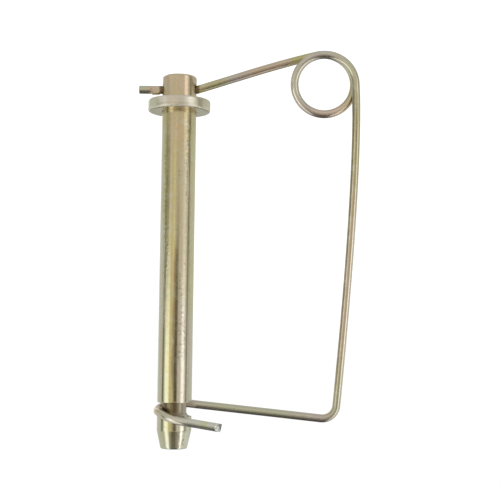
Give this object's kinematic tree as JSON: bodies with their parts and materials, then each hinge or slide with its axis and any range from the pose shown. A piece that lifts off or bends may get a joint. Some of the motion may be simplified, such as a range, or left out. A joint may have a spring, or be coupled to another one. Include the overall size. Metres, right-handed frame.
{
  "type": "hitch pin lock",
  "caption": "Round hitch pin with a collar under its head and a coiled spring wire that runs beside the shank and hooks round a groove near the tip to keep the pin in place.",
  "frame": {"origin": "on the pin's axis, at the height of the collar's underside, where the pin seats", "axes": "+Z along the pin towards its head, +X towards the wire's long leg, -Y towards the hook's free tail"},
  "size_m": [0.0822, 0.023, 0.1479],
  "materials": {
    "pin_plating": "turned steel with yellow chromate zinc plating, faint rainbow tint",
    "collar_plating": "turned steel with paler yellow chromate zinc plating",
    "wire_plating": "drawn spring wire with yellow chromate zinc plating"
  },
  "bodies": {
    "pin_body": {"pin": "pin_plating", "collar": "collar_plating"},
    "anchor_arm": {"wire_anchor_arm": "wire_plating", "wire_coil": "wire_plating"},
    "latch_arm": {"wire_leg": "wire_plating", "wire_hook": "wire_plating"}
  },
  "joints": [
    {"name": "clip_swing", "type": "hinge", "parent": "pin_body", "child": "anchor_arm", "pos_m": [0, 0, 0.00835], "axis": [1, 0, 0], "range_deg": [0, 345]},
    {"name": "coil_flex", "type": "hinge", "parent": "anchor_arm", "child": "latch_arm", "pos_m": [0.0541, -0.002, 0.0105], "axis": [0, 1, 0], "range_deg": [0, 12.5], "stiffness_Nm_per_rad": 5, "springref_deg": -2.86, "deforming": ["wire_coil"]}
  ]
}
